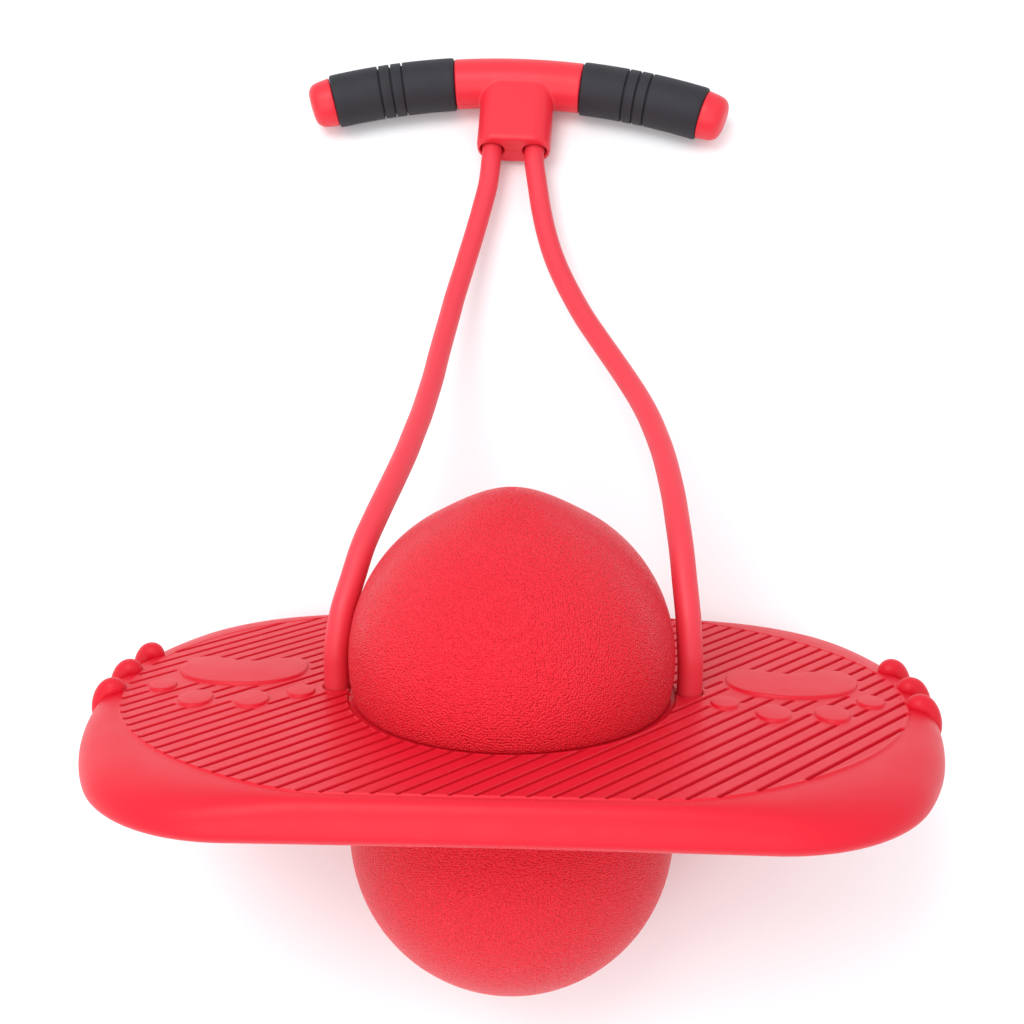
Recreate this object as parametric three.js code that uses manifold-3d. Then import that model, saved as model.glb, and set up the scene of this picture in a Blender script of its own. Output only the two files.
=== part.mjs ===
// A jump ball board: an oblong deck with a two-lobed air ball through its middle, and two stiff
// rubber ropes that run from the deck up to a T-shaped handle with two grips.
// Millimetres, +Z up. The board lies back on the floor, on its rear edge and the ball's lower
// lobe, and the handle lies on the floor behind it. X runs along the board, +Y to the handle.
import * as THREE from "three";
import { mergeVertices } from "three/addons/utils/BufferGeometryUtils.js";
import Module from "manifold-3d";

const wasm = await Module();
wasm.setup();

// ---------- driving dimensions ----------

// Board, in its own frame: x along it, y to the back, z out of the deck, z = 0 on the deck.
const DECK_CENTRE = [0, -192, 152.8];
const DECK_TILT = -57.1;
const BOARD_END_RADIUS = 261.5;
const BOARD_HALF_DEPTH = 168.5;
const BOARD_CORNER_RADIUS = 95.5;
const BOARD_THICKNESS = 28;
// The rim's widest line, and how far its upper and lower slopes reach in from it.
const RIM = { z: -19.8, upperReach: 14, lowerReach: 12 };
const BOARD_WALL = 3;
const HOLE_RADIUS = 96;
const HOLE_WALL = 3.5;
const VENT_RADIUS = 4;
const VENT_POSITION = [0, 134];
const PAD_HEIGHT = 1.6;
const PAD_CENTRE_X = 176;
const PAD_CENTRE_Y = { left: -1, right: -8 };
// Toes as [x, y, half width, half depth], outer toe first, in front of the pad.
const TOES = [
  [-44, -1, 8.5, 10],
  [-17.5, -23, 10.5, 13],
  [17.5, -23, 10.5, 13],
  [45, -7, 8.5, 10],
];
const KNUCKLE_RADIUS = 7.8;
const KNUCKLE_PROUD = 2;
const KNUCKLE_Y = { left: [62, 27, -10], right: [54, 18, -13.5] };

// Ball, about the axis of the hole.
const UPPER_LOBE = { centre: 23.2, radius: 100.9 };
const LOWER_LOBE = { centre: -92.2, radius: 102.7 };
const NECK_RADIUS = 95.5;
const BALL_WALL = 3;
const APEX_HEIGHT = 5.3;
const APEX_RADIUS = 50;
const GAP = 0.3;

// Valve: a flanged seat bonded under the ball's skin, and a plug whose head sits flush in the skin's opening.
const VALVE_FACE = UPPER_LOBE.centre + UPPER_LOBE.radius + APEX_HEIGHT;
const SEAT = { radius: 9, length: 16, flangeDepth: 6, flangeThickness: 5 };
const PLUG = { radius: 3, headRadius: 5, headDepth: 1.6, length: 14 };

// Ropes.
const ROPE_RADIUS = 8;
const ROPE_FOOT = [110.5, 4];
const ROPE_HOLE_RADIUS = 8.6;
const ROPE_PIVOT_HEIGHT = 10;
const ROPE_STEPS = 18;
const ROPE_SIDES = 10;
// Each row is y, z, x of the left rope and x of the right rope, from the deck to the handle.
const ROPE_ROUTE = [
  [-181.4, 154.9, -110.5, 110.8],
  [-168.5, 163.2, -110, 110.4],
  [-147.7, 170.2, -106.5, 109],
  [-125, 169.6, -101, 107.1],
  [-102.6, 166.5, -96.1, 105.5],
  [-81.2, 159.6, -90.4, 103.6],
  [-60.7, 150.1, -85.1, 101.8],
  [-40.9, 139, -80.5, 99.4],
  [-21.4, 127.1, -76.6, 96.5],
  [-2, 114.7, -74, 92.4],
  [17.5, 102.4, -71.4, 87.3],
  [37.2, 90.4, -69.4, 80.5],
  [57.3, 78.9, -67.5, 72],
  [77.8, 68.2, -65.9, 62.5],
  [98.7, 58.4, -63.7, 52.2],
  [120, 49.6, -61.1, 41.7],
  [141.6, 41.9, -58.3, 32.3],
  [163.6, 35.4, -54.5, 23.4],
  [185.8, 30.1, -50.4, 15.9],
  [208.2, 26.1, -46.1, 10.1],
  [230.8, 23.2, -41.9, 5.6],
  [253.6, 21.8, -37.8, 2.1],
  [276.3, 21.4, -36.1, -1.1],
];
const KNOB_RADIUS = 12.2;
const KNOB_HEIGHT = 14;
const WASHER_RADIUS = 13.8;
const WASHER_THICKNESS = 3;

// Handle, in its own frame: x along the bar, y away from the ropes, z up, origin on the bar's axis.
const HANDLE_CENTRE = [-15.5, 350.1, 21.4];
const HANDLE_TURN = -2.4;
const BAR_BEND_RADIUS = 500;
const BAR_RADIUS = 20;
const BAR_HALF_LENGTH = 52.5;
const CORE_RADIUS = 16.5;
const CORE_HALF_LENGTH = 154.5;
const SHELL_WALL = 3.2;
const STEM = { width: 60, thickness: 35, corner: 15, end: -64.6 };
const SOCKET_SPACING = 35;
const SOCKET_RADIUS = 10;
const CHANNEL_RADIUS = 8.4;
const ROPE_HEAD = { radius: 11.5, length: 16, start: -15.7 };
const GRIP_RADIUS = 21.3;
const GRIP_GROOVES = { depth: 1.2, width: 2.4, pitch: 9.6 };
const LEFT_GROOVE_CENTRE = 105;
const RIGHT_GROOVE_CENTRE = 99;
const CAP_RADIUS = 19.4;
const CAP_LENGTH = 19.5;
const SCREWS = [
  [-42, -1.8],
  [42, -1.8],
  [0, -16],
  [0, -52],
];
const SCREW = { head: 3.6, headHeight: 2.4, shank: 1.7, length: 22, recess: 5, post: 5.2 };

// ---------- materials ----------

function plastic(color, roughness) {
  return new THREE.MeshStandardMaterial({ color, roughness, metalness: 0 });
}

const boardRed = plastic(0xf03a44, 0.5);
const ballRed = plastic(0xee2f3c, 0.35);
const ropeRed = plastic(0xf2404a, 0.55);
const handleRed = plastic(0xf4424c, 0.5);
const gripBlack = plastic(0x333338, 0.8);
const hiddenWhite = plastic(0xd8d8d8, 0.6);
const screwSteel = new THREE.MeshStandardMaterial({ color: 0x9a9ca0, roughness: 0.35, metalness: 1 });

// ---------- solids ----------

function solidOf(geometry) {
  const bare = geometry.index ? geometry.toNonIndexed() : geometry.clone();
  bare.deleteAttribute("normal");
  bare.deleteAttribute("uv");
  const merged = mergeVertices(bare, 1e-4);
  return new wasm.Manifold(
    new wasm.Mesh({
      numProp: 3,
      vertProperties: merged.attributes.position.array,
      triVerts: new Uint32Array(merged.index.array),
    }),
  );
}

function geometryOf(solid) {
  const mesh = solid.getMesh();
  const geometry = new THREE.BufferGeometry();
  geometry.setAttribute("position", new THREE.BufferAttribute(mesh.vertProperties, 3));
  geometry.setIndex(new THREE.BufferAttribute(mesh.triVerts, 1));
  const flat = geometry.toNonIndexed();
  flat.computeVertexNormals();
  return flat;
}

function named(name, geometry, material) {
  const mesh = new THREE.Mesh(geometry, material);
  mesh.name = name;
  return mesh;
}

// A solid of revolution about z from a closed list of [radius, z].
function turned(profile, segments = 32) {
  const points = profile.map(([r, z]) => new THREE.Vector2(r, z));
  return new THREE.LatheGeometry(points, segments).rotateX(Math.PI / 2);
}

function rod(radius, low, high, segments = 32) {
  return turned([[0, low], [radius, low], [radius, high], [0, high]], segments);
}

function prism(shape, low, high, curveSegments = 12) {
  const depth = high - low;
  return new THREE.ExtrudeGeometry(shape, { depth, bevelEnabled: false, curveSegments }).translate(0, 0, low);
}

// A block whose two end edges are rounded by `round`.
function roundedSlab(shape, low, high, round, curveSegments, bevelSegments) {
  const depth = high - low - 2 * round;
  return new THREE.ExtrudeGeometry(shape, {
    depth,
    bevelThickness: round,
    bevelSize: round,
    bevelOffset: -round,
    bevelSegments,
    curveSegments,
  }).translate(0, 0, low + round);
}

// A closed skin over level outlines of equal length, bottom first: each is a list of [x, y] with its z.
function stacked(levels) {
  const count = levels[0].outline.length;
  const corners = levels.flatMap(({ outline, z }) => outline.map(([x, y]) => [x, y, z]));
  const positions = [];
  const face = (...indices) => indices.forEach((i) => positions.push(...corners[i]));
  for (let level = 0; level < levels.length - 1; level++) {
    for (let j = 0; j < count; j++) {
      const a = level * count + j;
      const b = level * count + ((j + 1) % count);
      face(a, b, b + count);
      face(a, b + count, a + count);
    }
  }
  const flat = levels[0].outline.map(([x, y]) => new THREE.Vector2(x, y));
  const top = (levels.length - 1) * count;
  for (const [a, b, c] of THREE.ShapeUtils.triangulateShape(flat, [])) {
    face(a, c, b);
    face(top + a, top + b, top + c);
  }
  const geometry = new THREE.BufferGeometry();
  return geometry.setAttribute("position", new THREE.Float32BufferAttribute(positions, 3));
}

// ---------- board ----------

// Two straight sides, bowed ends and round corners that meet the ends in line, `inset` inside the rim.
function boardOutline(inset, endSteps, cornerSteps) {
  const endRadius = BOARD_END_RADIUS - inset;
  const corner = BOARD_CORNER_RADIUS - inset;
  const cornerY = BOARD_HALF_DEPTH - BOARD_CORNER_RADIUS;
  const cornerX = Math.sqrt((BOARD_END_RADIUS - BOARD_CORNER_RADIUS) ** 2 - cornerY ** 2);
  const turn = Math.atan2(cornerY, cornerX);
  const points = [];
  const arc = (x, y, radius, from, to, steps, last) => {
    for (let i = 0; i < steps + last; i++) {
      const angle = from + ((to - from) * i) / steps;
      points.push([x + radius * Math.cos(angle), y + radius * Math.sin(angle)]);
    }
  };
  for (const start of [0, Math.PI]) {
    const side = Math.cos(start);
    arc(0, 0, endRadius, start - turn, start + turn, endSteps, 0);
    arc(side * cornerX, side * cornerY, corner, start + turn, start + Math.PI / 2, cornerSteps, 1);
    arc(-side * cornerX, side * cornerY, corner, start + Math.PI / 2, start + Math.PI - turn, cornerSteps, 0);
  }
  return points;
}

// The board's slab, `wall` inside its skin: a long slope from the deck to the rim, then a tighter roll.
function boardSlab(wall, steps) {
  const top = -wall;
  const bottom = wall - BOARD_THICKNESS;
  const levels = [];
  const level = (reach, z) => {
    levels.push({ outline: boardOutline(wall + reach, 2 * steps, 2 * steps), z });
  };
  for (let i = steps; i >= 1; i--) {
    const angle = (Math.PI / 2) * (i / steps);
    level(RIM.lowerReach * (1 - Math.cos(angle)), RIM.z + (bottom - RIM.z) * Math.sin(angle));
  }
  for (let i = steps; i >= 0; i--) {
    const angle = (Math.PI / 2) * (i / steps);
    level(RIM.upperReach * (1 - Math.sin(angle)), top + (RIM.z - top) * (1 - Math.cos(angle)));
  }
  return solidOf(stacked(levels));
}

// The main pad of a paw: round ends, two humps to the back and a full belly to the front.
function pawPad() {
  const shape = new THREE.Shape();
  shape.moveTo(-41, 32);
  shape.bezierCurveTo(-41, 46, -36, 53, -28, 53);
  shape.bezierCurveTo(-18, 53, -12, 46, 0, 45.5);
  shape.bezierCurveTo(12, 46, 18, 53, 28, 53);
  shape.bezierCurveTo(36, 53, 41, 46, 41, 32);
  shape.bezierCurveTo(41, 14, 22, 3.5, 0, 3.5);
  shape.bezierCurveTo(-22, 3.5, -41, 14, -41, 32);
  return shape;
}

function toe(x, y, halfWidth, halfDepth) {
  const shape = new THREE.Shape();
  shape.absellipse(x, y, halfWidth, halfDepth, 0, 2 * Math.PI, false);
  return shape;
}

// One paw print on the deck, sunk 1 mm into it; side is -1 on the left and 1 on the right.
function paw(side) {
  const outlines = [pawPad(), ...TOES.map((t) => toe(...t))];
  const centreY = side < 0 ? PAD_CENTRE_Y.left : PAD_CENTRE_Y.right;
  return outlines.map((shape) => {
    const print = solidOf(prism(shape, -1, PAD_HEIGHT, 4));
    return print.scale([-side, 1, 1]).translate([side * PAD_CENTRE_X, centreY, 0]);
  });
}

// Three knuckles that wrap over the rim at one end.
function knuckles(side) {
  const reach = BOARD_END_RADIUS + KNUCKLE_PROUD - KNUCKLE_RADIUS;
  return (side < 0 ? KNUCKLE_Y.left : KNUCKLE_Y.right).map((y) => {
    const along = Math.sqrt(reach ** 2 - y ** 2);
    const ball = new THREE.SphereGeometry(KNUCKLE_RADIUS, 10, 6);
    ball.scale(1, 1, 1.6).translate(side * along, y, -4);
    return solidOf(ball);
  });
}

function makeBoard() {
  const top = 0;
  const bottom = -BOARD_THICKNESS;
  let body = boardSlab(0, 4);
  let cavity = boardSlab(BOARD_WALL, 3);
  cavity = cavity.subtract(solidOf(rod(HOLE_RADIUS + HOLE_WALL, bottom, top, 36)));
  for (const side of [-1, 1]) {
    const post = rod(ROPE_HOLE_RADIUS + HOLE_WALL, bottom, top, 16);
    cavity = cavity.subtract(solidOf(post.translate(side * ROPE_FOOT[0], ROPE_FOOT[1], 0)));
  }
  for (const side of [-1, 1]) {
    for (const piece of [...paw(side), ...knuckles(side)]) body = body.add(piece);
  }
  body = body.subtract(cavity);
  body = body.subtract(solidOf(rod(HOLE_RADIUS, bottom - 1, top + 1, 48)));
  for (const side of [-1, 1]) {
    const hole = rod(ROPE_HOLE_RADIUS, bottom - 1, top + 1, 24);
    body = body.subtract(solidOf(hole.translate(side * ROPE_FOOT[0], ROPE_FOOT[1], 0)));
  }
  const vent = rod(VENT_RADIUS, bottom - 1, bottom + BOARD_WALL + 1, 12);
  body = body.subtract(solidOf(vent.translate(VENT_POSITION[0], VENT_POSITION[1], 0)));
  return named("board", geometryOf(body), boardRed);
}

// ---------- ball and valve ----------

function lobeArc(lobe, from, to, steps, inset) {
  const points = [];
  for (let i = 0; i <= steps; i++) {
    const angle = THREE.MathUtils.degToRad(from + ((to - from) * i) / steps);
    const r = (lobe.radius - inset) * Math.cos(angle);
    const z = lobe.centre + (lobe.radius - inset) * Math.sin(angle);
    points.push([Math.max(r, 0), z]);
  }
  return points;
}

// The raised tip at the top of the ball, as extra height over the lobe at radius r.
function apexRise(r) {
  return r >= APEX_RADIUS ? 0 : (APEX_HEIGHT * (1 + Math.cos((Math.PI * r) / APEX_RADIUS))) / 2;
}

// The ball's section from the lower pole to the opening for the valve, `inset` inside its skin.
function ballSection(inset, steps) {
  const neck = NECK_RADIUS - inset;
  const opening = PLUG.headRadius + GAP;
  const last = THREE.MathUtils.radToDeg(Math.acos(opening / (UPPER_LOBE.radius - inset)));
  const lower = lobeArc(LOWER_LOBE, -90, 16, steps, inset);
  const upper = lobeArc(UPPER_LOBE, -8, last, steps, inset);
  const waist = [[neck, -BOARD_THICKNESS - 2], [neck, 1.5]];
  return [...lower, ...waist, ...upper].map(([r, z]) => [r, z > UPPER_LOBE.centre ? z + apexRise(r) : z]);
}

function makeBall() {
  const outside = ballSection(0, 10);
  const inside = ballSection(BALL_WALL, 5).reverse();
  return named("ball", turned([...outside, ...inside], 36), ballRed);
}

function makeValveSeat() {
  const bore = PLUG.radius + GAP;
  const rest = VALVE_FACE - PLUG.headDepth;
  const flangeTop = VALVE_FACE - SEAT.flangeDepth;
  const profile = [
    [bore, VALVE_FACE - SEAT.length],
    [bore + 2.7, VALVE_FACE - SEAT.length],
    [SEAT.radius, flangeTop - SEAT.flangeThickness],
    [SEAT.radius, flangeTop],
    [PLUG.headRadius, flangeTop],
    [PLUG.headRadius, rest],
    [bore, rest],
    [bore, VALVE_FACE - SEAT.length],
  ];
  return named("valve_seat", turned(profile, 16), ballRed);
}

function makeValvePlug() {
  const neck = VALVE_FACE - PLUG.headDepth + GAP;
  const low = VALVE_FACE - PLUG.length;
  const profile = [
    [0, low],
    [PLUG.radius - 1, low],
    [PLUG.radius, low + 2],
    [PLUG.radius, neck],
    [PLUG.headRadius, neck],
    [PLUG.headRadius, VALVE_FACE - 0.4],
    [0, VALVE_FACE],
  ];
  return named("valve_plug", turned(profile, 16), handleRed);
}

// ---------- ropes ----------

function ropeRoute(side) {
  const column = side < 0 ? 2 : 3;
  return ROPE_ROUTE.map((row) => new THREE.Vector3(row[column], row[0], row[1]));
}

// The free span of one rope, with round ends centred on the points where it bends most.
function makeRope(name, side) {
  const points = ropeRoute(side);
  const section = new THREE.Shape();
  section.absarc(0, 0, ROPE_RADIUS, 0, 2 * Math.PI, false);
  const tube = new THREE.ExtrudeGeometry(section, {
    extrudePath: new THREE.CatmullRomCurve3(points),
    steps: ROPE_STEPS,
    curveSegments: ROPE_SIDES / 2,
    bevelEnabled: false,
  });
  let body = solidOf(tube);
  for (const end of [points[0], points[points.length - 1]]) {
    const ball = new THREE.SphereGeometry(ROPE_RADIUS - 0.1, 10, 6).translate(end.x, end.y, end.z);
    body = body.add(solidOf(ball));
  }
  return named(name, geometryOf(body), ropeRed);
}

// The rope's lower end, through the deck and the knob that stops it underneath, in board frame.
function makeRopeFoot(name) {
  const low = -BOARD_THICKNESS - WASHER_THICKNESS - KNOB_HEIGHT + 3;
  return named(name, rod(ROPE_RADIUS, low, ROPE_PIVOT_HEIGHT - ROPE_RADIUS - GAP, 20), ropeRed);
}

function makeWasher(name) {
  const high = -BOARD_THICKNESS - GAP;
  const low = high - WASHER_THICKNESS;
  const bore = ROPE_RADIUS + GAP;
  const profile = [[bore, low], [WASHER_RADIUS, low], [WASHER_RADIUS, high], [bore, high], [bore, low]];
  return named(name, turned(profile, 20), hiddenWhite);
}

function makeKnob(name) {
  const high = -BOARD_THICKNESS - WASHER_THICKNESS - 2 * GAP;
  const low = high - KNOB_HEIGHT;
  const bore = ROPE_RADIUS + GAP;
  const floor = -BOARD_THICKNESS - WASHER_THICKNESS - KNOB_HEIGHT + 3 - GAP;
  const profile = [
    [0, low],
    [KNOB_RADIUS - 4, low],
    [KNOB_RADIUS - 1, low + 2],
    [KNOB_RADIUS, low + 5],
    [KNOB_RADIUS, high],
    [bore, high],
    [bore, floor],
    [0, floor],
  ];
  return named(name, turned(profile, 20), ropeRed);
}

// ---------- handle ----------

// Bends a solid whose axis is x into the bar's arc: the ends fall towards -y.
function bent(geometry) {
  const position = geometry.attributes.position;
  for (let i = 0; i < position.count; i++) {
    const angle = position.getX(i) / BAR_BEND_RADIUS;
    const reach = BAR_BEND_RADIUS + position.getY(i);
    position.setX(i, reach * Math.sin(angle));
    position.setY(i, reach * Math.cos(angle) - BAR_BEND_RADIUS);
  }
  return geometry;
}

// A solid of revolution about x from a closed list of [radius, x], bent with the bar.
function turnedAlongBar(profile, segments = 32) {
  return bent(turned(profile, segments).rotateY(Math.PI / 2));
}

// A stepped round bar, thick in the middle and thinner under the grips, with rings enough to bend.
function barProfile(inset, overrun) {
  const thick = BAR_RADIUS - inset;
  const thin = CORE_RADIUS - inset;
  const step = BAR_HALF_LENGTH - (inset ? SHELL_WALL : 0);
  const end = CORE_HALF_LENGTH + overrun;
  const points = [[0, -end]];
  const ringAt = (radius, from, to, count) => {
    for (let i = 0; i <= count; i++) points.push([radius, from + ((to - from) * i) / count]);
  };
  ringAt(thin, -end, -step, 4);
  ringAt(thick, -step, step, 2);
  ringAt(thin, step, end, 4);
  points.push([0, end]);
  return points;
}

function stemOutline() {
  const halfX = STEM.width / 2;
  const halfZ = STEM.thickness / 2;
  const corner = STEM.corner;
  const shape = new THREE.Shape();
  shape.absarc(halfX - corner, halfZ - corner, corner, 0, Math.PI / 2, false);
  shape.absarc(corner - halfX, halfZ - corner, corner, Math.PI / 2, Math.PI, false);
  shape.absarc(corner - halfX, corner - halfZ, corner, Math.PI, 1.5 * Math.PI, false);
  shape.absarc(halfX - corner, corner - halfZ, corner, 1.5 * Math.PI, 2 * Math.PI, false);
  return shape;
}

// The stem under the bar, from its mouth to the bar's axis, with a rounded mouth edge.
function stemSolid() {
  const edge = 2.5;
  const block = roundedSlab(stemOutline(), STEM.end, edge, edge, 3, 2);
  return solidOf(block.rotateX(-Math.PI / 2));
}

// The way one rope goes into the stem: a flared mouth, a channel, and a pocket for the rope's head.
function ropeSpace(side) {
  const pocket = ROPE_HEAD.start - GAP;
  const profile = [
    [0, STEM.end - 8],
    [SOCKET_RADIUS, STEM.end - 8],
    [SOCKET_RADIUS, STEM.end + 5],
    [CHANNEL_RADIUS, STEM.end + 9],
    [CHANNEL_RADIUS, pocket],
    [ROPE_HEAD.radius + GAP, pocket],
    [ROPE_HEAD.radius + GAP, 2],
    [0, 2],
  ];
  const space = turned(profile, 20).rotateX(-Math.PI / 2);
  return solidOf(space.translate((side * SOCKET_SPACING) / 2, 0, 0));
}

function screwSolid(x, y, radiusGap) {
  const headLow = SCREW.recess - STEM.thickness / 2;
  const shankTop = headLow + SCREW.length;
  const headTop = headLow + SCREW.headHeight;
  const profile = [
    [0, headLow],
    [SCREW.head + radiusGap, headLow],
    [SCREW.head + radiusGap, headTop + radiusGap],
    [SCREW.shank + radiusGap, headTop + radiusGap],
    [SCREW.shank + radiusGap, shankTop],
    [0, shankTop],
  ];
  return turned(profile, 12).translate(x, y, 0);
}

// The space each screw needs: its own shape with clearance, open to the back of the handle.
function screwSpace(x, y) {
  const low = -BAR_RADIUS - 1;
  const seat = -STEM.thickness / 2 + SCREW.recess + 1;
  const well = rod(SCREW.head + GAP, low, seat, 12).translate(x, y, 0);
  return solidOf(screwSolid(x, y, GAP)).add(solidOf(well));
}

function makeHandleShells() {
  const outside = solidOf(turnedAlongBar(barProfile(0, 0), 24)).add(stemSolid());
  let cavity = solidOf(turnedAlongBar(barProfile(SHELL_WALL, 5), 24));
  for (const [x, y] of SCREWS) {
    const post = rod(SCREW.post, -30, 30, 12);
    cavity = cavity.subtract(solidOf(post.translate(x, y, 0)));
  }
  let whole = outside.subtract(cavity);
  for (const side of [-1, 1]) whole = whole.subtract(ropeSpace(side));
  for (const [x, y] of SCREWS) whole = whole.subtract(screwSpace(x, y));
  const half = (low, high) => {
    const block = new THREE.BoxGeometry(400, 200, high - low);
    return solidOf(block.translate(0, -20, (low + high) / 2));
  };
  const front = whole.intersect(half(GAP / 2, 40));
  const rear = whole.intersect(half(-40, -GAP / 2));
  return [
    named("handle_front_shell", geometryOf(front), handleRed),
    named("handle_rear_shell", geometryOf(rear), handleRed),
  ];
}

// One rubber grip with three ring grooves; `centre` is where the middle groove is along the bar.
function makeGrip(name, side, centre) {
  const inner = CORE_RADIUS + GAP;
  const start = BAR_HALF_LENGTH + GAP;
  const end = CORE_HALF_LENGTH;
  const { depth, width, pitch } = GRIP_GROOVES;
  const outer = [[GRIP_RADIUS - 1.5, start], [GRIP_RADIUS - 0.3, start + 1.2], [GRIP_RADIUS, start + 3]];
  outer.push([GRIP_RADIUS, start + 17]);
  for (const i of [-1, 0, 1]) {
    const at = centre + i * pitch;
    outer.push([GRIP_RADIUS, at - width / 2], [GRIP_RADIUS - depth, at - width / 4]);
    outer.push([GRIP_RADIUS - depth, at + width / 4], [GRIP_RADIUS, at + width / 2]);
  }
  outer.push([GRIP_RADIUS, end - 24], [GRIP_RADIUS, end - 3], [GRIP_RADIUS - 0.3, end - 1.2]);
  outer.push([GRIP_RADIUS - 1.5, end]);
  const bore = [];
  for (let i = 0; i <= 4; i++) bore.push([inner, end + ((start - end) * i) / 4]);
  const ring = [...outer, ...bore, outer[0]];
  const placed = side > 0 ? ring : ring.map(([r, x]) => [r, -x]).reverse();
  return named(name, turnedAlongBar(placed, 20), gripBlack);
}

// A rounded cap at the end of the bar, with a spigot that plugs into the hollow core.
function makeCap(name, side) {
  const low = CORE_HALF_LENGTH + GAP;
  const high = low + CAP_LENGTH;
  const spigot = CORE_RADIUS - SHELL_WALL - GAP;
  const points = [
    [0, low - 10],
    [spigot - 1, low - 10],
    [spigot, low - 8],
    [spigot, low],
    [CAP_RADIUS - 0.5, low],
    [CAP_RADIUS, low + 1],
    [CAP_RADIUS - 1.6, low + 12.5],
    [CAP_RADIUS - 4.6, low + 16.6],
    [CAP_RADIUS - 9, high - 0.9],
    [CAP_RADIUS - 14, high - 0.2],
    [0, high],
  ];
  const placed = side > 0 ? points : points.map(([r, x]) => [r, -x]).reverse();
  return named(name, turnedAlongBar(placed, 20), handleRed);
}

// The rope's upper end inside the stem: a short tail and the moulded head that can't pull out.
function makeRopeHead(name, side) {
  const tailStart = STEM.end + GAP;
  const { radius, length, start } = ROPE_HEAD;
  const profile = [
    [0, tailStart],
    [ROPE_RADIUS, tailStart],
    [ROPE_RADIUS, start],
    [radius, start],
    [radius, start + length - 3],
    [radius - 3, start + length],
    [0, start + length],
  ];
  const head = turned(profile, 20).rotateX(-Math.PI / 2);
  return named(name, head.translate((side * SOCKET_SPACING) / 2, 0, 0), ropeRed);
}

// ---------- assembly ----------

const group = new THREE.Group();

const boardGroup = new THREE.Group();
boardGroup.position.set(...DECK_CENTRE);
boardGroup.rotation.x = THREE.MathUtils.degToRad(DECK_TILT);
boardGroup.add(makeBoard(), makeBall(), makeValveSeat(), makeValvePlug());
for (const [word, side] of [["left", -1], ["right", 1]]) {
  const foot = new THREE.Group();
  foot.position.set(side * ROPE_FOOT[0], ROPE_FOOT[1], 0);
  foot.add(makeRopeFoot("rope_foot_" + word), makeWasher("rope_washer_" + word));
  foot.add(makeKnob("rope_knob_" + word));
  boardGroup.add(foot);
  group.add(makeRope("rope_" + word, side));
}
group.add(boardGroup);

const handleGroup = new THREE.Group();
handleGroup.position.set(...HANDLE_CENTRE);
handleGroup.rotation.z = THREE.MathUtils.degToRad(HANDLE_TURN);
handleGroup.add(...makeHandleShells());
handleGroup.add(makeGrip("grip_left", -1, LEFT_GROOVE_CENTRE));
handleGroup.add(makeGrip("grip_right", 1, RIGHT_GROOVE_CENTRE));
handleGroup.add(makeCap("end_cap_left", -1), makeCap("end_cap_right", 1));
handleGroup.add(makeRopeHead("rope_head_left", -1), makeRopeHead("rope_head_right", 1));
SCREWS.forEach(([x, y], i) => {
  handleGroup.add(named("handle_screw_" + (i + 1), screwSolid(x, y, 0), screwSteel));
});
group.add(handleGroup);

export default group;
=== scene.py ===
"""A jump ball board with a rope handle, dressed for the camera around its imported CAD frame.

The board and the handle are drawn in millimetres in their own frames, then placed by one matrix each.
"""
import math

import bmesh
import bpy
import numpy as np
from mathutils import Matrix, Vector


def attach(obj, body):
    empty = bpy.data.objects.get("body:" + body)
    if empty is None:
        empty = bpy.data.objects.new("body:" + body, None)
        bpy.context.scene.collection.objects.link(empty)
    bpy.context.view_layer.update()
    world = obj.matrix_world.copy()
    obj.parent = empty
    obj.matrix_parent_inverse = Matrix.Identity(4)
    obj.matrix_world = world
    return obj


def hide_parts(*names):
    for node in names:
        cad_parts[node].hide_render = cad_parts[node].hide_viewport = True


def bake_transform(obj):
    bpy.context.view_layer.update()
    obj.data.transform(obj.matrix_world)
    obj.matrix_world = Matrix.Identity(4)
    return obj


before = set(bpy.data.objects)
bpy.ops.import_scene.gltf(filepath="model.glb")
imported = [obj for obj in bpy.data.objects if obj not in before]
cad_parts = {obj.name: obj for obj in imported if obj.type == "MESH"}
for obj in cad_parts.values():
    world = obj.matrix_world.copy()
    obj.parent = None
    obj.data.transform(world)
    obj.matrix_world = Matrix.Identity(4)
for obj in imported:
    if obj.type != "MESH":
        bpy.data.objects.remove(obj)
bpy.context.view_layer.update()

MM = 0.001

# ---------- places, repeated from the CAD source ----------

BOARD = Matrix.Translation((0, -0.192, 0.1528))
BOARD = BOARD @ Matrix.Rotation(math.radians(-57.1), 4, "X") @ Matrix.Scale(MM, 4)
HANDLE = Matrix.Translation((-0.0155, 0.3501, 0.0214))
HANDLE = HANDLE @ Matrix.Rotation(math.radians(-2.4), 4, "Z") @ Matrix.Scale(MM, 4)
DECK_NORMAL = (BOARD.to_3x3() @ Vector((0, 0, 1))).normalized()

END_RADIUS = 261.5
HALF_DEPTH = 168.5
CORNER_RADIUS = 95.5
THICKNESS = 28.0
HOLE_RADIUS = 96.0
# Sides are -1 for the left and 1 for the right.
PAD_CENTRE = {-1: (-176.0, -1.0), 1: (176.0, -8.0)}
PAD_HEIGHT = 1.6
PLUG_HOLE_RADIUS = 5.1
VENT_RADIUS = 4.0
VENT_Y = 134.0

# Each lobe of the ball, as its centre's height and its radius.
UPPER_LOBE = (23.2, 100.9)
LOWER_LOBE = (-92.2, 102.7)
NECK_RADIUS = 95.5
APEX_HEIGHT = 5.3
APEX_RADIUS = 50.0
VALVE_FACE = UPPER_LOBE[0] + UPPER_LOBE[1] + APEX_HEIGHT

ROPE_RADIUS = 8.0
ROPE_FOOT = (110.5, 4.0)
ROPE_HOLE_RADIUS = 8.6
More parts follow.
